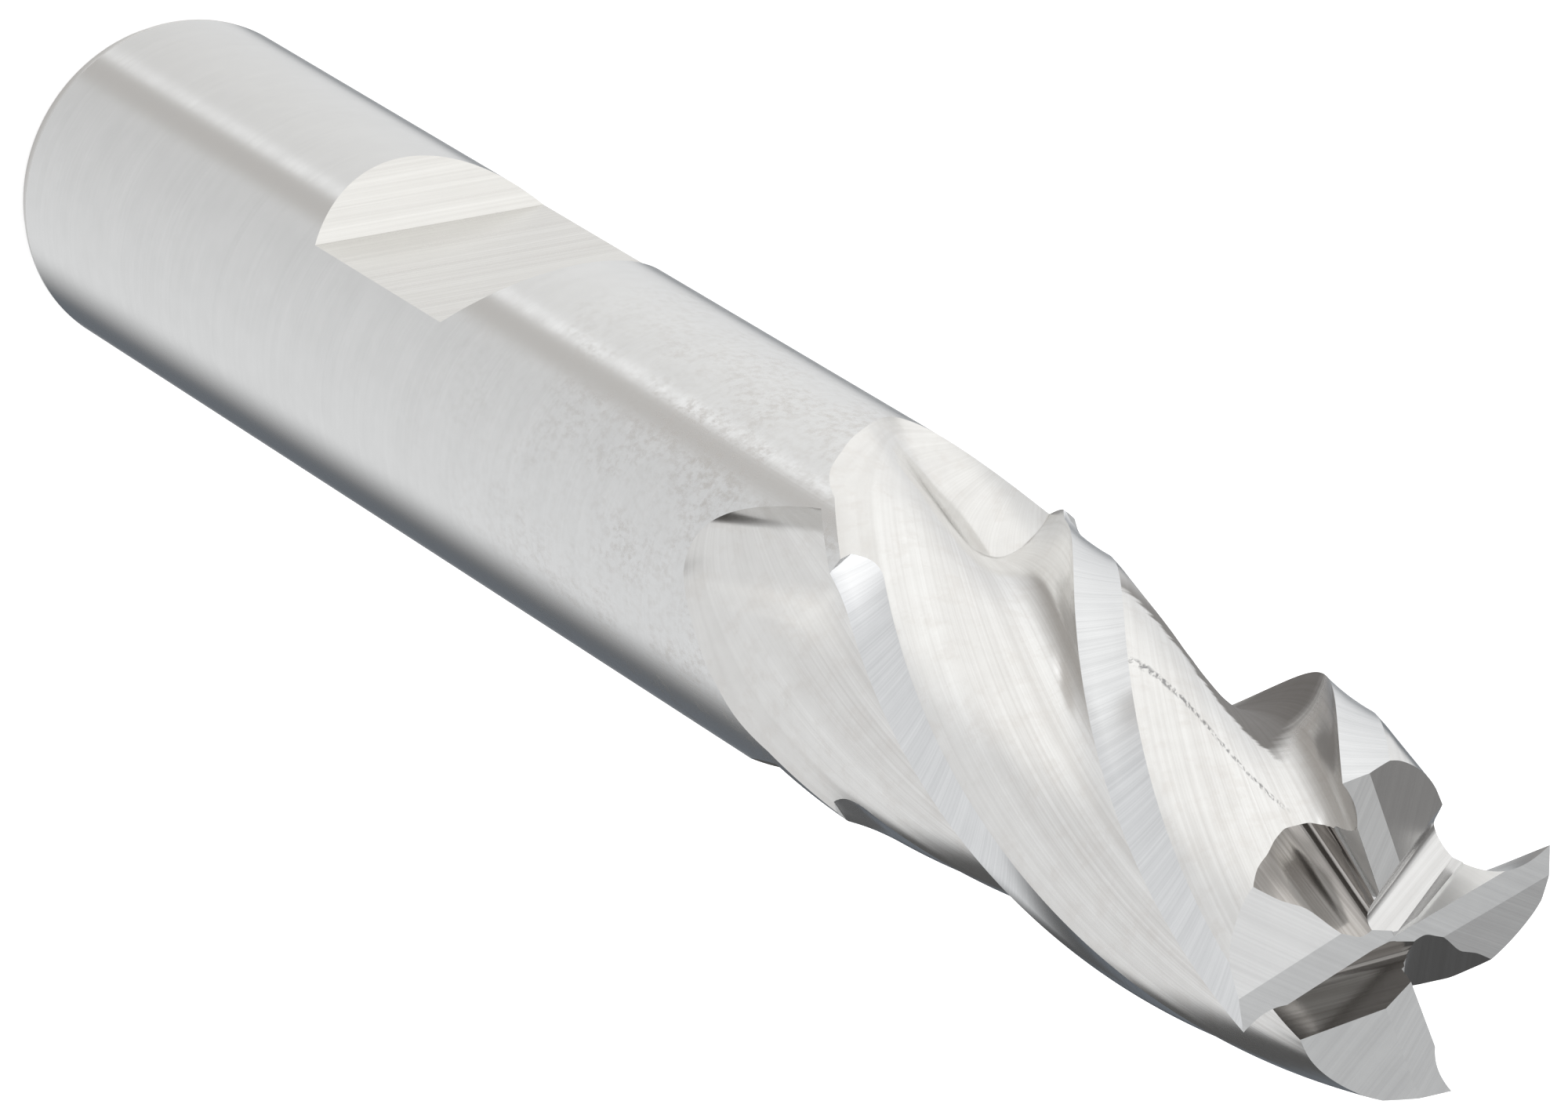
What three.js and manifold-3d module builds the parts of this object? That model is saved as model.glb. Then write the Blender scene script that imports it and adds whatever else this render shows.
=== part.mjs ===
// Four-flute, centre-cutting, right-hand end mill with a plain-flat (side-lock) shank.
//
// The tool is a friction-welded blank ground all over: a tough alloy-steel shank and a high-speed-steel cutter,
// butted on one plane in front of the locking flat. Nothing on it moves.
//
// Millimetres. Origin at the centre of the shank's end face, +Z along the tool towards the cutting end.
// The locking flat faces -Y.

import * as THREE from 'three';
import { mergeVertices } from 'three/addons/utils/BufferGeometryUtils.js';
import Module from 'manifold-3d';

// Overall
const LENGTH = 69;
const WELD_Z = 28;

// Shank
const SHANK_R = 5;
const END_BEVEL = { run: 0.6, drop: 0.25 };
const CENTRE_HOLE = { mouthR: 1.55, drillR: 0.8, drillDepth: 3.2 };
const FLAT = { z0: 16.6, z1: 24.2, depth: 1.55 };

// Cutter
const CUT_R = 4.75;
const LEAD = 2 * Math.PI * CUT_R / Math.tan(THREE.MathUtils.degToRad(29.4));
const LONG_TOOTH = THREE.MathUtils.degToRad(20.4);
const RELIEF_Z = 46.6;
const RUNOUT_Z = 44.3;
const RUNOUT = { length: 4.3, lift: 2.4, turn: THREE.MathUtils.degToRad(16.5) };

// Flute form, in a tooth's own frame: cutting edge on +X, cutting face towards +Y
const HOLLOW = [
  [5, 0.1], [4.75, 0], [4.42, -0.075], [4.08, -0.11], [3.75, -0.085], [3.44, 0], [3.2, 0.12], [3.0, 0.31],
  [2.83, 0.61], [2.7, 0.97], [2.63, 1.4], [2.61, 1.85], [2.57, 2.33],
];
const BACK = [[2.33, -2.57], [2.9, -2.44], [3.42, -2.19], [3.95, -1.8], [4.36, -1.36], [5, -0.35]];
const LAND_RELIEF = THREE.MathUtils.degToRad(16);

// End teeth
const EDGE_LEAD = 0.07;
const DISH = Math.tan(THREE.MathUtils.degToRad(1.9));
const END_LAND = 0.91;
const END_CLEARANCE = Math.tan(THREE.MathUtils.degToRad(8));
const END_SECONDARY = Math.tan(THREE.MathUtils.degToRad(27));
const LONG_GASH = {
  fall: Math.tan(THREE.MathUtils.degToRad(30)),
  inner: -2.4,
  form: [[0.07, 0.095], [0.5, 0.525], [0.63, 0.62], [0.78, 0.67], [0.92, 0.6], [1.04, 0.49], [1.4, 0.11], [3.4, -2.01]],
};
const SHORT_GASH = {
  fall: Math.tan(THREE.MathUtils.degToRad(33)),
  inner: -1.2,
  form: [[0.07, -0.34], [0.12, -0.2], [0.22, -0.14], [0.5, -0.3], [1.2, -1.1]],
};
const SHORT_GASH_FLOOR = {
  fall: Math.tan(THREE.MathUtils.degToRad(41.5)),
  inner: -1.2,
  form: [
    [0.1, -0.8], [0.2, -0.45], [0.29, -0.275], [0.5, -0.2], [0.83, -0.215], [1.1, -0.38], [1.4, -0.58],
    [1.75, -0.84], [2.1, -0.98], [2.41, -1.115], [3.4, -1.65],
  ],
};

const wasm = await Module();
wasm.setup();

// A closed triangle mesh from any three.js geometry
function solid(geometry) {
  const bare = geometry.clone();
  bare.deleteAttribute('normal');
  bare.deleteAttribute('uv');
  const merged = mergeVertices(bare, 1e-5);
  const corners = [];
  const index = merged.index.array;
  for (let i = 0; i < index.length; i += 3) {
    const [a, b, c] = [index[i], index[i + 1], index[i + 2]];
    if (a !== b && b !== c && c !== a) corners.push(a, b, c);
  }
  return new wasm.Manifold(new wasm.Mesh({
    numProp: 3,
    vertProperties: new Float32Array(merged.attributes.position.array),
    triVerts: new Uint32Array(corners),
  }));
}

// Back to a flat-shaded three.js geometry
function geometryOf(body) {
  const mesh = body.getMesh();
  const geometry = new THREE.BufferGeometry();
  geometry.setAttribute('position', new THREE.BufferAttribute(new Float32Array(mesh.vertProperties), 3));
  geometry.setIndex(new THREE.BufferAttribute(new Uint32Array(mesh.triVerts), 1));
  const flat = geometry.toNonIndexed();
  flat.computeVertexNormals();
  return flat;
}

// Turned body about Z from a closed half profile of [radius, z]
function turned(profile, segments) {
  const points = profile.map(([r, z]) => new THREE.Vector2(r, z));
  points.push(points[0].clone());
  return solid(new THREE.LatheGeometry(points, segments).rotateX(Math.PI / 2));
}

// Prism of an outline, each corner moved by place(x, y, t) with t from 0 to 1 along the prism
function prism(outline, steps, place) {
  const shape = new THREE.Shape(outline.map(([x, y]) => new THREE.Vector2(x, y)));
  const geometry = new THREE.ExtrudeGeometry(shape, { depth: 1, steps, bevelEnabled: false });
  const position = geometry.attributes.position;
  const p = new THREE.Vector3();
  for (let i = 0; i < position.count; i++) {
    p.fromBufferAttribute(position, i);
    position.setXYZ(i, ...place(p.x, p.y, p.z));
  }
  return solid(geometry);
}

// Angle through which the helix has turned at height z, measured back from the cutting end
function helix(z) {
  return -2 * Math.PI * (LENGTH - Math.max(z, RUNOUT_Z)) / LEAD;
}

function turn(x, y, angle) {
  const [c, s] = [Math.cos(angle), Math.sin(angle)];
  return [x * c - y * s, x * s + y * c];
}

// A smooth run of points through a form, its last point left out
function smooth(form, count) {
  const curve = new THREE.SplineCurve(form.map(([x, y]) => new THREE.Vector2(x, y)));
  return curve.getPoints(count).slice(0, -1).map((p) => [p.x, p.y]);
}

// One helical flute: it follows the helix, then lifts out of the blank behind the cutting length
function flute(tooth) {
  const back = BACK.map(([x, y]) => [-y, x]);
  const outline = [[6.9, 1.1], ...smooth(HOLLOW, 14), ...back, [-0.3, 7.4], [5.4, 6.2]];
  const out = THREE.MathUtils.degToRad(21);
  const share = 0.25;
  return prism(outline, 32, (x, y, t) => {
    const s = Math.max(0, 1 - t / share);
    const z = RUNOUT_Z - s * RUNOUT.length + Math.max(0, t - share) / (1 - share) * (LENGTH + 1 - RUNOUT_Z);
    const lift = RUNOUT.lift * (0.68 * s + 0.32 * s ** 4);
    const moved = [x + lift * Math.cos(out), y + lift * Math.sin(out)];
    return [...turn(...moved, tooth + helix(z) + RUNOUT.turn * s), z];
  });
}

// Blank of the cutting length: cylinder of the cutting diameter with a flat relief strip behind each edge
function relievedBlank() {
  const outline = [];
  const slope = Math.tan(LAND_RELIEF);
  for (let k = 3; k >= 0; k--) {
    const quarter = k * Math.PI / 2;
    for (let i = 0; i < 7; i++) {
      const a = -i * Math.PI / 14;
      const facet = CUT_R / (Math.cos(a) - slope * Math.sin(a));
      const r = Math.min(CUT_R, facet);
      outline.push(turn(r * Math.cos(a), r * Math.sin(a), quarter));
    }
  }
  outline.reverse();
  const [z0, z1] = [RELIEF_Z - 0.4, LENGTH];
  return prism(outline, 20, (x, y, t) => {
    const z = z0 + (z1 - z0) * t;
    return [...turn(x, y, LONG_TOOTH + helix(z)), z];
  });
}

// Everything above the end flank of one tooth, over the quarter behind its cutting edge
function endFlank(tooth) {
  const drop = END_LAND * END_CLEARANCE;
  const edge = EDGE_LEAD;
  const outline = [
    [edge, 4], [edge, 0], [edge - END_LAND, -drop], [-5.6, -drop - (5.6 - END_LAND + edge) * END_SECONDARY], [-5.6, 4],
  ];
  return prism(outline, 1, (y, h, t) => {
    const x = -0.001 + 6.2 * t;
    return [...turn(x, y, tooth), LENGTH + h - (CUT_R - x) * DISH];
  });
}

// Gash in front of one tooth: it opens the end of the flute towards the centre and forms the inner cutting face.
// Its form is given as depth against distance from the tooth's edge, at the tool's centre.
function gash(tooth, { fall, inner, form }) {
  const top = -6;
  const outline = [[form[0][0], -top], ...form.map(([y, d]) => [y, -d]), [form[form.length - 1][0], -top]];
  return prism(outline, 1, (y, h, t) => {
    const x = inner + (6.8 - inner) * t;
    return [...turn(x, y, tooth), LENGTH + h - x * fall];
  });
}

function buildShank() {
  const profile = [
    [0, CENTRE_HOLE.drillDepth + 0.5], [CENTRE_HOLE.drillR, CENTRE_HOLE.drillDepth],
    [CENTRE_HOLE.drillR, (CENTRE_HOLE.mouthR - CENTRE_HOLE.drillR) * Math.sqrt(3)], [CENTRE_HOLE.mouthR, 0],
    [SHANK_R - END_BEVEL.drop, 0], [SHANK_R, END_BEVEL.run], [SHANK_R, WELD_Z], [0, WELD_Z],
  ];
  const bar = turned(profile, 96);
  const outline = [
    [FLAT.z0, 0], [FLAT.z1, 0], [FLAT.z1 + 2.4, -2.4], [FLAT.z0 - 2.4, -2.4],
  ];
  const seat = prism(outline, 1, (z, y, t) => [6 - 12 * t, y - SHANK_R + FLAT.depth, z]);
  return bar.subtract(seat);
}

function buildCutter() {
  const body = turned([[0, WELD_Z], [SHANK_R, WELD_Z], [SHANK_R, RELIEF_Z], [0, RELIEF_Z]], 96);
  let cutter = body.add(relievedBlank());
  for (let k = 0; k < 4; k++) {
    const tooth = LONG_TOOTH + k * Math.PI / 2;
    cutter = cutter.subtract(flute(tooth));
  }
  for (let k = 0; k < 4; k++) {
    const tooth = LONG_TOOTH + k * Math.PI / 2;
    cutter = cutter.subtract(endFlank(tooth));
    cutter = cutter.subtract(gash(tooth, k % 2 ? SHORT_GASH : LONG_GASH));
    if (k % 2) cutter = cutter.subtract(gash(tooth, SHORT_GASH_FLOOR));
  }
  return cutter;
}

function part(name, body, colour, roughness) {
  const material = new THREE.MeshStandardMaterial({ color: colour, roughness, metalness: 1 });
  const mesh = new THREE.Mesh(geometryOf(body), material);
  mesh.name = name;
  return mesh;
}

const endMill = new THREE.Group();
endMill.name = 'end_mill';
endMill.add(part('shank', buildShank(), 0xb9bab9, 0.32));
endMill.add(part('fluted_cutter', buildCutter(), 0xc2c0bb, 0.28));

export default endMill;
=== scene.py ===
import math

import bmesh
import bpy
import numpy as np
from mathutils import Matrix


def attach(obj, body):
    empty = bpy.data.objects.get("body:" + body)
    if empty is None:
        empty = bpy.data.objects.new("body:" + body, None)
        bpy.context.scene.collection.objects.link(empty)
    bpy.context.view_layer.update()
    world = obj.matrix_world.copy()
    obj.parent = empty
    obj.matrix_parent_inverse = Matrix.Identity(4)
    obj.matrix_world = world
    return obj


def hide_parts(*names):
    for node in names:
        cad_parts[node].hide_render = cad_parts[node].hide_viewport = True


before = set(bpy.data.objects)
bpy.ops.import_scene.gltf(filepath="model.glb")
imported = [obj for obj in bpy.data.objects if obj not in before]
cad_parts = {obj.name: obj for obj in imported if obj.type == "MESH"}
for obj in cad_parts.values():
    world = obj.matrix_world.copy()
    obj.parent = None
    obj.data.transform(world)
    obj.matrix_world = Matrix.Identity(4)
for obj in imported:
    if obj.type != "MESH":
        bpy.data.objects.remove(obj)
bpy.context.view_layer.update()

# A four-flute end mill on a shank with a locking flat. Its meshes are made in millimetres and turned into
# metres when they are finished. The origin is the centre of the shank's end face, and +Z runs to the cutting
# end.

# ---------------------------------------------------------------- dimensions, mm
MM = 0.001
LENGTH = 69.0
WELD_Z = 28.0

SHANK_R = 5.0
END_RUN, END_DROP = 0.6, 0.25
HOLE_MOUTH_R, DRILL_R, DRILL_DEPTH, DRILL_POINT = 1.55, 0.8, 3.2, 0.5
FLAT_Z0, FLAT_Z1, FLAT_DEPTH = 16.6, 24.2, 1.55
FLAT_WHEEL_RISE = 2.4

CUT_R = 4.75
LEAD = 2 * math.pi * CUT_R / math.tan(math.radians(29.4))
LONG_TOOTH = math.radians(20.4)
TEETH = 4

# The relief behind each edge starts at RELIEF_Z and reaches its full depth RELIEF_EASE further on
RELIEF_Z, RELIEF_EASE = 46.6, 1.5
LAND_RELIEF = math.tan(math.radians(16))
LAND_STRIPS, LAND_STRIP = 8, 0.36

# Behind RUNOUT_Z each flute leaves the helix and lifts out of the blank
RUNOUT_Z, RUNOUT_LENGTH, RUNOUT_LIFT, RUNOUT_TURN = 44.3, 4.3, 2.4, math.radians(16.5)
LIFT_DIRECTION = math.radians(21)

# Flute form in a tooth's own frame, cutting edge on +X; BACK is given a quarter turn on, for the next tooth
HOLLOW = [
    (5, 0.1), (4.75, 0), (4.42, -0.075), (4.08, -0.11), (3.75, -0.085), (3.44, 0), (3.2, 0.12), (3.0, 0.31),
    (2.83, 0.61), (2.7, 0.97), (2.63, 1.4), (2.61, 1.85), (2.57, 2.33),
]
BACK = [(2.33, -2.57), (2.9, -2.44), (3.42, -2.19), (3.95, -1.8), (4.36, -1.36), (5, -0.35)]
BEFORE_HOLLOW, AFTER_BACK = [(6.9, 1.1)], [(-0.3, 7.4), (5.4, 6.2)]

EDGE_LEAD = 0.07
DISH = math.tan(math.radians(1.9))
END_LAND, END_REACH, END_HEIGHT = 0.91, 5.6, 4
END_CLEARANCE = math.tan(math.radians(8))
END_SECONDARY = math.tan(math.radians(27))

# Gashes: fall outwards, inner end, and form as (distance from the edge, depth)
LONG_GASH = (math.tan(math.radians(30)), -2.4, [
    (0.07, 0.095), (0.5, 0.525), (0.63, 0.62), (0.78, 0.67), (0.92, 0.6), (1.04, 0.49), (1.4, 0.11),
    (3.4, -2.01),
])
SHORT_GASH = (math.tan(math.radians(33)), -1.2, [
    (0.07, -0.34), (0.12, -0.2), (0.22, -0.14), (0.5, -0.3), (1.2, -1.1),
])
SHORT_GASH_FLOOR = (math.tan(math.radians(41.5)), -1.2, [
    (0.1, -0.8), (0.2, -0.45), (0.29, -0.275), (0.5, -0.2), (0.83, -0.215), (1.1, -0.38), (1.4, -0.58),
    (1.75, -0.84), (2.1, -0.98), (2.41, -1.115), (3.4, -1.65),
])
GASH_REACH, GASH_HEIGHT = 6.8, 6

SEGMENTS = 288
CREASE = math.cos(math.radians(28))
SMALLEST_FACE = 1e-3

# Face codes, which say what cut each surface. From HOLLOWED up, each kind has one code for each tooth.
BARREL, LAND, FACE, STEP, SEAT, SHOULDER, HOLE, BEVEL = range(8)
HOLLOWED, END_PRIMARY, END_BACK, GASH, GASH_FLOOR = 8, 16, 20, 24, 28
CODES = 32


# ---------------------------------------------------------------- mesh helpers
def holders():
    """Placeholder materials, one for each face code."""
    return [bpy.data.materials.get(f"code_{i}") or bpy.data.materials.new(f"code_{i}") for i in range(CODES)]


def make(name, verts, faces, codes):
    mesh = bpy.data.meshes.new(name)
    mesh.from_pydata([tuple(float(c) for c in v) for v in verts], [], faces)
    for m in holders():
        mesh.materials.append(m)
    mesh.polygons.foreach_set("material_index", codes)
    bm = bmesh.new()
    bm.from_mesh(mesh)
    bmesh.ops.remove_doubles(bm, verts=bm.verts, dist=1e-5)
    bmesh.ops.recalc_face_normals(bm, faces=bm.faces)
    bm.to_mesh(mesh)
    bm.free()
    obj = bpy.data.objects.new(name, mesh)
    bpy.context.scene.collection.objects.link(obj)
    return obj


def loft(name, rings, side_codes, cap_code):
    """Closed body through rings of points; side_codes has one code for each side of a ring."""
    n = len(rings[0])
    verts = [p for ring in rings for p in ring]
    faces, codes = [list(range(n))[::-1]], [cap_code]
    for i in range(len(rings) - 1):
        for j in range(n):
            k = (j + 1) % n
            faces.append([i * n + j, i * n + k, (i + 1) * n + k, (i + 1) * n + j])
            codes.append(side_codes[j])
    faces.append([(len(rings) - 1) * n + j for j in range(n)])
    codes.append(cap_code)
    return make(name, verts, faces, codes)


def turned(name, profile):
    """Body of revolution from (radius, z, code) points; each code is for the band up to the next point."""
    rows, verts, faces, codes = [], [], [], []
    angles = [2 * math.pi * s / SEGMENTS for s in range(SEGMENTS)]
    for r, z, _ in profile:
        if r < 1e-9:
            rows.append([len(verts)] * SEGMENTS)
            verts.append((0, 0, z))
        else:
            rows.append(list(range(len(verts), len(verts) + SEGMENTS)))
            verts += [(r * math.cos(a), r * math.sin(a), z) for a in angles]
    for i in range(len(profile) - 1):
        a, b = rows[i], rows[i + 1]
        for s in range(SEGMENTS):
            t = (s + 1) % SEGMENTS
            corners = list(dict.fromkeys((a[s], a[t], b[t], b[s])))
            if len(corners) > 2:
                faces.append(corners)
                codes.append(profile[i][2])
    return make(name, verts, faces, codes)


def cut(body, tool):
    """Takes the tool away from the body; the new faces keep the tool's face codes."""
    modifier = body.modifiers.new("cut", "BOOLEAN")
    modifier.operation = "DIFFERENCE"
    modifier.solver = "MANIFOLD"
    modifier.object = tool
    depsgraph = bpy.context.evaluated_depsgraph_get()
    mesh = bpy.data.meshes.new_from_object(body.evaluated_get(depsgraph))
    body.modifiers.clear()
    old = body.data
    body.data = mesh
    bpy.data.meshes.remove(old)
    bpy.data.objects.remove(tool)


def turn(x, y, angle):
    c, s = math.cos(angle), math.sin(angle)
    return x * c - y * s, x * s + y * c


def tooth_angle(k):
    return LONG_TOOTH + k * math.pi / 2


def helix(z):
    """Angle of the helix at height z, counted from the cutting end and held still behind the run-out."""
    return -2 * math.pi * (LENGTH - max(z, RUNOUT_Z)) / LEAD


def smooth(points, per_span):
    """Catmull-Rom curve through the points, its last point left out."""
    p = [np.array(q, float) for q in points]
    p = [2 * p[0] - p[1]] + p + [2 * p[-1] - p[-2]]
    out = []
    for i in range(1, len(p) - 2):
        for t in np.arange(per_span) / per_span:
            a, b, c, d = p[i - 1], p[i], p[i + 1], p[i + 2]
            square = (2 * a - 5 * b + 4 * c - d) * t * t
            cube = (3 * b - a - 3 * c + d) * t ** 3
            out.append(tuple(0.5 * (2 * b + (c - a) * t + square + cube)))
    return out


# ---------------------------------------------------------------- blanks, and the wheels that cut them
def shank_body():
    """Bar with a centre hole, its edges eased by a few hundredths."""
    mouth_r, bevel_r = HOLE_MOUTH_R, SHANK_R - END_DROP
    cone = (mouth_r - DRILL_R) * math.sqrt(3)
    return turned("shank_visual", [
        (0, DRILL_DEPTH + DRILL_POINT, HOLE), (DRILL_R, DRILL_DEPTH, HOLE), (DRILL_R, cone, HOLE),
        (mouth_r - 0.04, 0.07, HOLE), (mouth_r - 0.01, 0.02, FACE), (mouth_r + 0.04, 0.0, FACE),
        (bevel_r - 0.06, 0.0, BEVEL), (bevel_r - 0.012, 0.02, BEVEL), (bevel_r + 0.02, 0.07, BEVEL),
        (SHANK_R - 0.045, END_RUN - 0.1, BEVEL), (SHANK_R - 0.012, END_RUN, BEVEL),
        (SHANK_R, END_RUN + 0.12, BARREL), (SHANK_R, WELD_Z, FACE), (0, WELD_Z, FACE),
    ])


def flat_wheel():
    """Trapezium across the shank: the flat's floor between two 45 degree walls."""
    rise = FLAT_WHEEL_RISE
    outline = [(FLAT_Z0, 0), (FLAT_Z1, 0), (FLAT_Z1 + rise, -rise), (FLAT_Z0 - rise, -rise)]
    rings = [[(x, y - SHANK_R + FLAT_DEPTH, z) for z, y in outline] for x in (-6, 6)]
    return loft("seat", rings, [SEAT, SHOULDER, SHOULDER, SHOULDER], FACE)


def relief_rise(z):
    """How far the relief still stands proud of its full depth just in front of the neck."""
    return (SHANK_R - CUT_R) * max(0.0, 1 - (z - RELIEF_Z) / RELIEF_EASE) ** 2


def cutter_body():
    steps = 12
    profile = [(0, WELD_Z, FACE), (SHANK_R, WELD_Z, BARREL)]
    for i in range(steps + 1):
        z = RELIEF_Z + RELIEF_EASE * i / steps
        profile.append((CUT_R + relief_rise(z), z, LAND))
    profile += [(CUT_R, LENGTH, FACE), (0, LENGTH, FACE)]
    return turned("fluted_cutter_visual", profile)


def land_wheel(k):
    """What the relief grind takes off behind one edge: all outside a facet that winds with the helix."""
    steps = 150
    outline = [(CUT_R + 0.002, 0.0)]
    for i in range(1, LAND_STRIPS + 1):
        y = -i * LAND_STRIP
        outline.append((CUT_R + y * LAND_RELIEF, y))
    outline += [(6.5, -3.4), (6.5, 0.0)]
    rings = []
    for i in range(steps + 1):
        z = RELIEF_Z + (LENGTH + 1 - RELIEF_Z) * i / steps
        angle = tooth_angle(k) + helix(z)
        rings.append([(*turn(x + relief_rise(z), y, angle), z) for x, y in outline])
    return loft("land", rings, [LAND] * len(outline), STEP)


def flute_wheel(k):
    """One flute: the run-out, lifting as it goes back, and the helix in front of it."""
    runout_steps, helix_steps, points_per_span = 60, 180, 5
    back = [(-y, x) for x, y in BACK]
    heel = smooth(back, points_per_span) + [back[-1]]
    outline = BEFORE_HOLLOW + smooth(HOLLOW, points_per_span) + heel + AFTER_BACK
    rings = []
    for i in range(runout_steps + 1):
        s = 1 - i / runout_steps
        z = RUNOUT_Z - s * RUNOUT_LENGTH
        lift = RUNOUT_LIFT * (0.68 * s + 0.32 * s ** 4)
        dx, dy = lift * math.cos(LIFT_DIRECTION), lift * math.sin(LIFT_DIRECTION)
        angle = tooth_angle(k) + helix(z) + RUNOUT_TURN * s
        rings.append([(*turn(x + dx, y + dy, angle), z) for x, y in outline])
    for i in range(1, helix_steps + 1):
        z = RUNOUT_Z + (LENGTH + 1 - RUNOUT_Z) * i / helix_steps
        rings.append([(*turn(x, y, tooth_angle(k) + helix(z)), z) for x, y in outline])
    return loft("flute", rings, [HOLLOWED + k] * len(outline), FACE)


def end_wheel(k):
    """All that is above the two end flanks of one tooth."""
    drop = END_LAND * END_CLEARANCE
    far_drop = drop + (END_REACH - END_LAND + EDGE_LEAD) * END_SECONDARY
    outline = [(EDGE_LEAD, END_HEIGHT), (EDGE_LEAD, 0), (EDGE_LEAD - END_LAND, -drop),
               (-END_REACH, -far_drop), (-END_REACH, END_HEIGHT)]
    codes = [FACE, END_PRIMARY + k, END_BACK + k, FACE, FACE]
    rings = []
    for x in (-0.001, 6.199):
        rings.append([(*turn(x, y, tooth_angle(k)), LENGTH + h - (CUT_R - x) * DISH) for y, h in outline])
    return loft("end", rings, codes, FACE)


def gash_wheel(k, shape, kind, points_per_span):
    """One gash, which opens the end of a flute towards the centre."""
    fall, inner, form = shape
    edge = [form[0]] + smooth(form[1:], points_per_span) + [form[-1]]
    outline = [(form[0][0], GASH_HEIGHT)] + [(y, -d) for y, d in edge] + [(form[-1][0], GASH_HEIGHT)]
    rings = []
    for x in (inner, GASH_REACH):
        rings.append([(*turn(x, y, tooth_angle(k)), LENGTH + h - x * fall) for y, h in outline])
    return loft("gash", rings, [kind + k] * len(outline), FACE)


# ---------------------------------------------------------------- grain coordinates
ALONG_HELIX = 1.15              # mm along a flute for each mm of height
STONE_X, STONE_Y = 6.8, 2.6     # point inside a flute's form about which its marks are laid
STONE_R = 3.8
U_STEP, V_STEP = 7.3, 3.1       # shift from one surface to the next, so that no two have the same marks


def grain_at(code, x, y, z, a):
    """Place in mm on a surface, along its grinding marks and across them. a is the angle of (x, y)."""
    if code in (BARREL, BEVEL, STEP, HOLE):
        return a * SHANK_R, z
    if code == FACE:
        return a * 4, math.hypot(x, y) * 1.6
    if code == LAND:
        behind = (a - helix(z)) * CUT_R
        return behind, z * ALONG_HELIX + 0.4 * behind
    if code in (SEAT, SHOULDER):
        return x, z
    tooth = tooth_angle((code - HOLLOWED) % TEETH)
    if code < END_PRIMARY:
        px, py = turn(x, y, -(tooth - 2 * math.pi * (LENGTH - z) / LEAD))
        way = math.atan2(py - STONE_Y, px - STONE_X) % (2 * math.pi)
        return z * ALONG_HELIX, -way * STONE_R
    px, py = turn(x, y, -tooth)
    if code < GASH:
        return px * 0.64 - py * 0.77, px * 0.77 + py * 0.64
    return px * 1.2, py + (z - LENGTH) * 0.4 + px * 0.25


def grain(mesh):
    """Writes a UV map in mm whose U runs along the grinding marks of each surface."""
    co = np.zeros(len(mesh.vertices) * 3)
    mesh.vertices.foreach_get("co", co)
    co = co.reshape(-1, 3)
    layer = mesh.uv_layers.new(name="grain")
    uv = np.zeros((len(mesh.loops), 2))
    for poly in mesh.polygons:
        code = poly.material_index
        ids = [mesh.loops[i].vertex_index for i in poly.loop_indices]
        centre = np.mean(co[ids], axis=0)
        mid = math.atan2(centre[1], centre[0])
        for loop, vid in zip(poly.loop_indices, ids):
            x, y, z = co[vid]
            a = mid + (math.atan2(y, x) - mid + math.pi) % (2 * math.pi) - math.pi
            u, v = grain_at(code, x, y, z, a)
            uv[loop] = (u + U_STEP * (code % TEETH), v + V_STEP * (code // TEETH))
    layer.data.foreach_set("uv", uv.ravel())


def crease(mesh, codes):
    """Marks edges sharp where face codes meet, and outside the flutes where faces meet at an angle."""
    edge_faces = {}
    for poly in mesh.polygons:
        for i in poly.loop_indices:
            edge_faces.setdefault(mesh.loops[i].edge_index, []).append(poly.index)
    flags = np.zeros(len(mesh.edges), dtype=bool)
    areas = [p.area for p in mesh.polygons]
    for e, pair in edge_faces.items():
        a, b = pair[0], pair[-1]
        if codes[a] != codes[b]:
            flags[e] = True
        elif not HOLLOWED <= codes[a] < END_PRIMARY and min(areas[a], areas[b]) > SMALLEST_FACE:
            flags[e] = mesh.polygons[a].normal.dot(mesh.polygons[b].normal) < CREASE
    sharp = mesh.attributes.get("sharp_edge") or mesh.attributes.new("sharp_edge", "BOOLEAN", "EDGE")
    sharp.data.foreach_set("value", flags)


def finish_mesh(obj, material_of):
    """Grain map, sharp edges, real materials for the face codes, and metres for millimetres."""
    mesh = obj.data
    bm = bmesh.new()
    bm.from_mesh(mesh)
    bmesh.ops.dissolve_degenerate(bm, edges=bm.edges, dist=1e-3)
    bm.to_mesh(mesh)
    bm.free()
    grain(mesh)
    codes = np.zeros(len(mesh.polygons), dtype=np.int32)
    mesh.polygons.foreach_get("material_index", codes)
    names = [material_of(c).name for c in range(CODES)]
    slots = sorted(set(names))
    mesh.materials.clear()
    for name in slots:
        mesh.materials.append(bpy.data.materials[name])
    mesh.polygons.foreach_set("material_index", [slots.index(names[c]) for c in codes])
    mesh.polygons.foreach_set("use_smooth", [True] * len(mesh.polygons))
    crease(mesh, codes)
    for v in mesh.vertices:
        v.co *= MM
    mesh.update()


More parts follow.
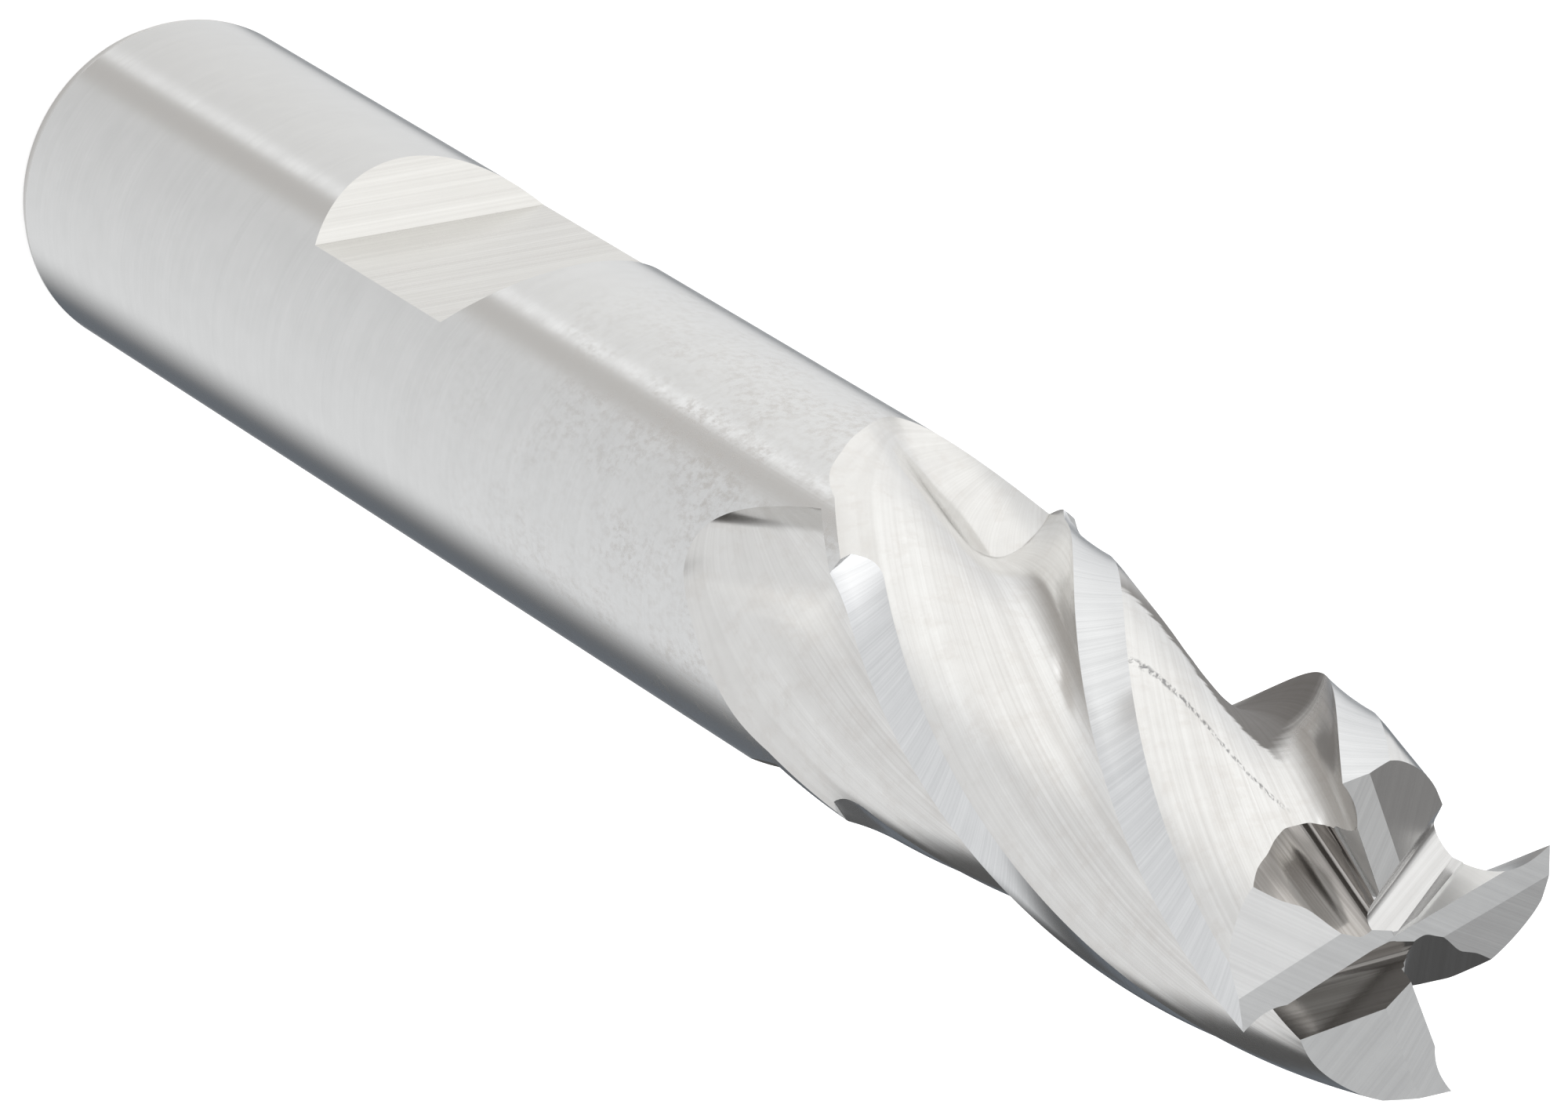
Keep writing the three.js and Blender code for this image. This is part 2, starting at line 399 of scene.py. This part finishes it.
# ---------------------------------------------------------------- materials
class Nodes:
    def __init__(self, tree):
        self.tree = tree

    def add(self, kind, **settings):
        node = self.tree.nodes.new(kind)
        for key, value in settings.items():
            setattr(node, key, value)
        return node

    def link(self, a, b):
        self.tree.links.new(a, b)

    def value(self, socket, given):
        if isinstance(given, (int, float, tuple)):
            socket.default_value = given
        else:
            self.link(given, socket)

    def math(self, operation, a, b=0.0, clamp=False):
        node = self.add("ShaderNodeMath", operation=operation, use_clamp=clamp)
        self.value(node.inputs[0], a)
        self.value(node.inputs[1], b)
        return node.outputs[0]

    def plus(self, a, b, clamp=False):
        return self.math("ADD", a, b, clamp)

    def minus(self, a, b):
        return self.math("SUBTRACT", a, b)

    def times(self, a, *others):
        for b in others:
            a = self.math("MULTIPLY", a, b)
        return a

    def noise(self, vector, scale, detail=2.0, rough=0.5):
        node = self.add("ShaderNodeTexNoise")
        self.link(vector, node.inputs["Vector"])
        node.inputs["Scale"].default_value = scale
        node.inputs["Detail"].default_value = detail
        node.inputs["Roughness"].default_value = rough
        return node.outputs["Fac"]

    def mapped(self, vector, scale, offset=(0, 0, 0)):
        node = self.add("ShaderNodeMapping")
        self.link(vector, node.inputs["Vector"])
        node.inputs["Scale"].default_value = scale
        node.inputs["Location"].default_value = offset
        return node.outputs[0]

    def ramp(self, fac, low, high, a=0.0, b=1.0):
        node = self.add("ShaderNodeMapRange", interpolation_type="SMOOTHSTEP")
        self.link(fac, node.inputs["Value"])
        for name, given in (("From Min", low), ("From Max", high), ("To Min", a), ("To Max", b)):
            node.inputs[name].default_value = given
        return node.outputs[0]

    def mix(self, fac, a, b):
        node = self.add("ShaderNodeMix", data_type="RGBA", blend_type="MIX")
        self.value(node.inputs[0], fac)
        self.value(node.inputs[6], a)
        self.value(node.inputs[7], b)
        return node.outputs[2]

    def grain(self):
        return self.add("ShaderNodeUVMap", uv_map="grain").outputs[0]

    def place(self):
        """Place on the object, in mm."""
        return self.mapped(self.add("ShaderNodeTexCoord").outputs["Object"], (1000, 1000, 1000))

    def split(self, vector):
        node = self.add("ShaderNodeSeparateXYZ")
        self.link(vector, node.inputs[0])
        return node.outputs


ETCH_TINT = (0.53, 0.49, 0.45, 1)
# Colour of the painted highlight.
HIGHLIGHT_TINT = (0.96, 0.97, 0.985, 1)


def etching(t, place, first, full, amount):
    """Fine specks in loose patches, none up to the height first and all of them from the height full."""
    reach = t.ramp(t.split(place)[2], first, full, 0.0, amount)
    patch = t.ramp(t.noise(t.mapped(place, (1, 1, 0.8), (1, 7, 2)), 0.45, 3.0, 0.6), 0.40, 0.62)
    speck = t.ramp(t.noise(t.mapped(place, (1, 1, 0.7), (5, 3, 8)), 4.5, 4.0, 0.65), 0.40, 0.70)
    return t.times(speck, t.plus(t.times(patch, 0.7), 0.3), reach)


def steel(name, tint, dark, rough, spread, aniso, fine, coarse, depth, mottle,
          along=0.12, stain=None, pits=None, painted_highlight=None, fade=None):
    """Ground steel. tint and dark are its two tones, rough its roughness and spread how far that varies.
    fine, coarse and along are marks per mm across and along the grain, depth their bump in mm, and mottle the
    share of cloudy tone. stain is a patchy tinted layer (tint, amount, patches per mm) and pits an etch
    (first z, full z, amount). burnish is a painted highlight, a brighter stretch (full z, last z). The marks
    come in over fade (first z, full z)."""
    material = bpy.data.materials.new(name)
    material.use_nodes = True
    t = Nodes(material.node_tree)
    shader = material.node_tree.nodes["Principled BSDF"].inputs
    uv, place = t.grain(), t.place()

    thin = t.noise(t.mapped(uv, (along, fine, 1)), 1.0, 3.0, 0.6)
    wide = t.noise(t.mapped(uv, (along * 0.4, coarse, 1), (3.7, 1.9, 0)), 1.0, 2.0, 0.5)
    cloud = t.noise(place, 0.9, 4.0, 0.62)
    grit = t.noise(t.mapped(place, (1, 1, 1), (9, 2, 5)), 7.0, 2.0, 0.5)
    marks = t.plus(t.times(thin, 0.6), t.times(wide, 0.4))
    if fade:
        strength = t.ramp(t.split(place)[2], *fade, 0.4, 1.0)
        marks = t.plus(t.times(t.minus(marks, 0.5), strength), 0.5)

    tone = t.plus(t.times(t.ramp(marks, 0.3, 0.7), 1 - mottle), t.times(t.ramp(cloud, 0.28, 0.72), mottle))
    colour = t.mix(tone, (*dark, 1), (*tint, 1))
    height = t.plus(marks, t.times(grit, 0.1))
    shine = t.plus(t.times(tone, -spread), rough + spread * 0.5)
    shine = t.plus(shine, t.times(grit, spread * 0.3), clamp=True)
    if pits:
        etch = etching(t, place, *pits)
        colour = t.mix(t.times(etch, 0.42), colour, ETCH_TINT)
        height = t.plus(height, t.times(etch, -0.12))
        shine = t.plus(shine, t.times(etch, 0.12), clamp=True)
    if stain:
        film_tint, amount, size = stain
        stain_and_shade = t.ramp(t.noise(t.mapped(place, (1, 1, 1), (4, 8, 1)), size, 5.0, 0.68), 0.48, 0.66)
        colour = t.mix(t.times(stain_and_shade, amount), colour, (*film_tint, 1))
    # A painted highlight: a brighter stretch between two heights, stronger on the marks.
    if painted_highlight:
        highlight_mask = t.times(t.ramp(t.split(place)[2], *painted_highlight, 1.0, 0.0), t.ramp(marks, 0.25, 0.6, 0.45, 1.0))
        colour = t.mix(highlight_mask, colour, HIGHLIGHT_TINT)

    t.link(colour, shader["Base Color"])
    t.link(shine, shader["Roughness"])
    shader["Metallic"].default_value = 1.0
    shader["Anisotropic"].default_value = aniso
    shader["Anisotropic Rotation"].default_value = 0.25
    tangent = t.add("ShaderNodeTangent", direction_type="UV_MAP", uv_map="grain")
    t.link(tangent.outputs[0], shader["Tangent"])
    bump = t.add("ShaderNodeBump")
    bump.inputs["Strength"].default_value = 1.0
    bump.inputs["Distance"].default_value = depth * MM
    t.link(height, bump.inputs["Height"])
    t.link(bump.outputs[0], shader["Normal"])
    return material


# The one flute with painted shade: a dark patch at its root and a thin dark streak, both slanted across its
# grinding marks. Their places are in that flute's grain: slant is V plus SLOPE times the height.
PAINTED_SHADE_TOOTH = 3
SLOPE = 0.30
SHADE_SLANT = (11.67, 11.85)
SHADE_START = (51.0, 55.0)
SHADE_END, SHADE_END_FLOOR = (76.4, 78.2), -8.1
SHADE_TINT, SHADE_AMOUNT = (0.06, 0.05, 0.043, 1), 0.9
STREAK_SLANT, STREAK_HALF_WIDTH = 12.968, (0.02, 0.085)
STREAK_START, STREAK_END = (57.2, 58.4), (65.0, 66.3)
STREAK_TINT, STREAK_AMOUNT = (0.07, 0.072, 0.08, 1), 0.7


def add_painted_shade(material):
    """Painted shade: a dark matte patch with a ragged edge, and a thin broken streak of painted shade beside
    it.
    """
    t = Nodes(material.node_tree)
    shader = material.node_tree.nodes["Principled BSDF"].inputs
    clean = shader["Base Color"].links[0].from_socket
    shine = shader["Roughness"].links[0].from_socket
    uv = t.grain()
    u, v, _ = t.split(uv)
    z = t.split(t.place())[2]
    own = t.math("GREATER_THAN", t.minus(u, t.times(z, ALONG_HELIX)), U_STEP * (PAINTED_SHADE_TOOTH - 0.5))
    slant = t.plus(v, t.times(z, SLOPE))
    ragged = t.times(t.minus(t.noise(t.mapped(uv, (3, 0.6, 1)), 1.0, 3.0), 0.5), 0.5)

    # The patch is painted shade, dark, matte and less metallic, between two slants and two heights.
    side = t.ramp(t.plus(slant, ragged), *SHADE_SLANT, 1.0, 0.0)
    end = t.minus(t.plus(z, t.times(ragged, 2.0)), t.times(t.math("MAXIMUM", v, SHADE_END_FLOOR), 2.0))
    end = t.ramp(end, *SHADE_END, 1.0, 0.0)
    stain_and_shade = t.times(side, end, t.ramp(z, *SHADE_START), own, SHADE_AMOUNT)
    colour = t.mix(stain_and_shade, clean, SHADE_TINT)
    t.link(t.minus(1.0, stain_and_shade), shader["Metallic"])
    t.link(t.plus(shine, t.times(stain_and_shade, 0.4)), shader["Roughness"])

    # The streak is a thin broken line of painted shade.
    off = t.math("ABSOLUTE", t.plus(t.minus(slant, STREAK_SLANT), t.times(ragged, 0.15)))
    dashes = t.ramp(t.noise(t.mapped(uv, (3.5, 14, 1), (2, 5, 0)), 1.0, 3.0, 0.6), 0.42, 0.60)
    reach = t.times(t.ramp(z, *STREAK_START), t.ramp(z, *STREAK_END, 1.0, 0.0))
    streak = t.times(t.ramp(off, *STREAK_HALF_WIDTH, 1.0, 0.0), dashes, reach, own, STREAK_AMOUNT)
    t.link(t.mix(streak, colour, STREAK_TINT), shader["Base Color"])


ROUND_GRIND = dict(tint=(0.760, 0.765, 0.765), dark=(0.725, 0.73, 0.73), rough=0.20, spread=0.05, aniso=0.2,
                   fine=12, coarse=3, depth=0.0006, mottle=0.5, pits=(21, 42, 1.0))
GASH_GRIND = dict(rough=0.18, spread=0.08, aniso=0.4, fine=10, coarse=3, depth=0.0016, mottle=0.1, along=0.05)

barrel = steel("shank_ground", **ROUND_GRIND)
neck = steel("neck_ground", **ROUND_GRIND)
bevel = steel("bevel_ground", tint=(0.86, 0.86, 0.85), dark=(0.80, 0.80, 0.79), rough=0.48, spread=0.08,
              aniso=0.2, fine=8, coarse=2.5, depth=0.0010, mottle=0.4)
seat = steel("flat_ground", tint=(0.79, 0.785, 0.765), dark=(0.68, 0.67, 0.65), rough=0.24, spread=0.08,
             aniso=0.5, fine=9, coarse=2.5, depth=0.0018, mottle=0.1, along=0.05)
hole = steel("centre_hole", tint=(0.55, 0.55, 0.54), dark=(0.40, 0.40, 0.39), rough=0.45, spread=0.1,
             aniso=0.2, fine=6, coarse=2, depth=0.003, mottle=0.4)
# The lands carry a painted highlight just behind the start of the relief.
land = steel("land_ground", tint=(0.79, 0.80, 0.81), dark=(0.67, 0.68, 0.69), rough=0.20, spread=0.08,
             aniso=0.4, fine=11, coarse=3.0, depth=0.0014, mottle=0.2, along=0.07, painted_highlight=(47.3, 49.2))
hollow = steel("flute_ground", tint=(0.83, 0.83, 0.82), dark=(0.66, 0.65, 0.635), rough=0.17, spread=0.10,
               aniso=0.5, fine=13, coarse=2.6, depth=0.0026, mottle=0.2, along=0.04,
               stain=((0.64, 0.61, 0.58), 0.28, 1.4), fade=(43.5, 47))
# Painted shade on one flute: a dark patch at its root and a thin dark streak.
add_painted_shade(hollow)
end_face = steel("end_ground", tint=(0.80, 0.803, 0.80), dark=(0.69, 0.69, 0.69), rough=0.22, spread=0.06,
                 aniso=0.4, fine=10, coarse=3, depth=0.0014, mottle=0.25, along=0.06)
gash_clean = steel("gash_ground", tint=(0.74, 0.74, 0.74), dark=(0.60, 0.595, 0.59), **GASH_GRIND)
# The darker gash steel is painted shade, for the gashes listed below where shade falls.
gash_filmed = steel("gash_filmed", tint=(0.56, 0.54, 0.52), dark=(0.36, 0.34, 0.32), **GASH_GRIND)
PAINTED_SHADE_GASHES = (0, 3)


def shank_material(code):
    return {BEVEL: bevel, HOLE: hole, FACE: bevel, SEAT: seat, SHOULDER: seat}.get(code, barrel)


def cutter_material(code):
    if code < HOLLOWED:
        return {LAND: land, FACE: bevel}.get(code, neck)
    if code < END_PRIMARY:
        return hollow
    if code < GASH:
        return end_face
    # The listed gashes take the darker steel as painted shade.
    return gash_filmed if code % TEETH in PAINTED_SHADE_GASHES else gash_clean


# ---------------------------------------------------------------- the two pieces
shank = shank_body()
cut(shank, flat_wheel())
finish_mesh(shank, shank_material)

cutter = cutter_body()
for k in range(TEETH):
    cut(cutter, land_wheel(k))
for k in range(TEETH):
    cut(cutter, flute_wheel(k))
for k in range(TEETH):
    cut(cutter, end_wheel(k))
    if k % 2:
        cut(cutter, gash_wheel(k, SHORT_GASH, GASH, 1))
        cut(cutter, gash_wheel(k, SHORT_GASH_FLOOR, GASH_FLOOR, 4))
    else:
        cut(cutter, gash_wheel(k, LONG_GASH, GASH, 4))
finish_mesh(cutter, cutter_material)

for piece, node, slot in ((shank, "shank", "shank_steel"), (cutter, "fluted_cutter", "cutter_steel")):
    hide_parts(node)
    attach(piece, "root")

# ---------------------------------------------------------------- floor, m
FLOOR_HALF, FLOOR_GAP = 6.0, 0.00002
floor_mesh = bpy.data.meshes.new("floor")
corners = [(x * FLOOR_HALF, y * FLOOR_HALF, 0) for x, y in ((-1, -1), (1, -1), (1, 1), (-1, 1))]
floor_mesh.from_pydata(corners, [], [(0, 1, 2, 3)])
floor = bpy.data.objects.new("floor", floor_mesh)
bpy.context.scene.collection.objects.link(floor)
floor.location.z = -FLOOR_GAP
floor.visible_glossy = False
pale = bpy.data.materials.new("floor_pale")
pale.use_nodes = True
paint = pale.node_tree.nodes["Principled BSDF"].inputs
paint["Base Color"].default_value = (0.85, 0.85, 0.85, 1)
paint["Roughness"].default_value = 0.9
paint["Specular IOR Level"].default_value = 0.0
paint["Emission Color"].default_value = (1, 1, 1, 1)
paint["Emission Strength"].default_value = 0.45
floor_mesh.materials.append(pale)

# ---------------------------------------------------------------- studio
# A tent of pale cloth, as soft-edged patches of light and dark, each over the ones before it: azimuth about
# the tool's axis and elevation towards its cutting end, where the patch ends and where it is full, and tone
CLOTH = (0.88, 0.882, 0.885, 1)
BACKDROP = (0.93, 0.93, 0.93, 1)
TENT = [
    (-112, -8, 70, 30, (1.17, 1.165, 1.15)),    # lit side
    (95, 54, 58, 28, (0.61, 0.615, 0.62)),      # shaded side
    (-50, 42, 25, 16, (0.055, 0.05, 0.045)),    # opening beside the camera
    (-30, 60, 24, 16, (0.06, 0.055, 0.05)),     # opening around the camera
    (75, 8, 34, 22, (0.08, 0.075, 0.07)),       # dark room seen past the tent
    (103, -24, 46, 28, (0.10, 0.10, 0.10)),     # the same, towards the shank
    (171, 9, 39, 20, (0.26, 0.255, 0.25)),      # grey cloth on the far side
    (133, -53, 26, 18, (0.15, 0.165, 0.185)),   # bluish gap beyond the shank
    (143, -56, 10, 5, (0.55, 0.56, 0.57)),      # light in that gap
    (-100, -86, 34, 12, (0.42, 0.40, 0.38)),    # grey cloth beyond the shank's end
    (-75, -56, 9, 4, (0.60, 0.575, 0.55)),      # small grey patch on the lit side
    (-88, -56, 4, 2, (1.4, 1.4, 1.4)),          # small bright lamp beside it
]
LAMP_PLACE, LAMP_SIZE, LAMP_POWER = (0.1, -0.1, 1.0), 1.6, 9


def toward(azimuth, elevation):
    a, e = math.radians(azimuth), math.radians(elevation)
    return (math.cos(a) * math.cos(e), math.sin(a) * math.cos(e), math.sin(e))


world = bpy.data.worlds.new("studio")
bpy.context.scene.world = world
world.use_nodes = True
w = Nodes(world.node_tree)
direction = w.add("ShaderNodeTexCoord").outputs["Generated"]
tone = CLOTH
for azimuth, elevation, outer, inner, patch_tone in TENT:
    nearness = w.add("ShaderNodeVectorMath", operation="DOT_PRODUCT")
    w.link(direction, nearness.inputs[0])
    nearness.inputs[1].default_value = toward(azimuth, elevation)
    edge = (math.cos(math.radians(outer)), math.cos(math.radians(inner)))
    tone = w.mix(w.ramp(nearness.outputs["Value"], *edge), tone, (*patch_tone, 1))
tone = w.mix(w.add("ShaderNodeLightPath").outputs["Is Camera Ray"], tone, BACKDROP)
background = world.node_tree.nodes["Background"]
w.link(tone, background.inputs["Color"])
background.inputs["Strength"].default_value = 1.0

lamp_data = bpy.data.lights.new("overhead", "AREA")
lamp_data.shape = "DISK"
lamp_data.size = LAMP_SIZE
lamp_data.energy = LAMP_POWER
lamp = bpy.data.objects.new("overhead", lamp_data)
lamp.location = LAMP_PLACE
lamp.visible_glossy = False
bpy.context.scene.collection.objects.link(lamp)

# ---------------------------------------------------------------- camera
CAMERA_PLACE = (0.16434, -0.12478, 0.33673)
CAMERA_TURN = (-19.9162, -28.8460, 179.7058)
LENS, SENSOR = 310.0, 36.0
NEAR, FAR = 0.01, 50.0

camera_data = bpy.data.cameras.new("camera")
camera_data.lens = LENS
camera_data.sensor_width = SENSOR
camera_data.clip_start = NEAR
camera_data.clip_end = FAR
camera = bpy.data.objects.new("camera", camera_data)
camera.location = CAMERA_PLACE
camera.rotation_euler = [math.radians(angle) for angle in CAMERA_TURN]
bpy.context.scene.collection.objects.link(camera)
bpy.context.scene.camera = camera
bpy.context.scene.view_settings.view_transform = "Standard"
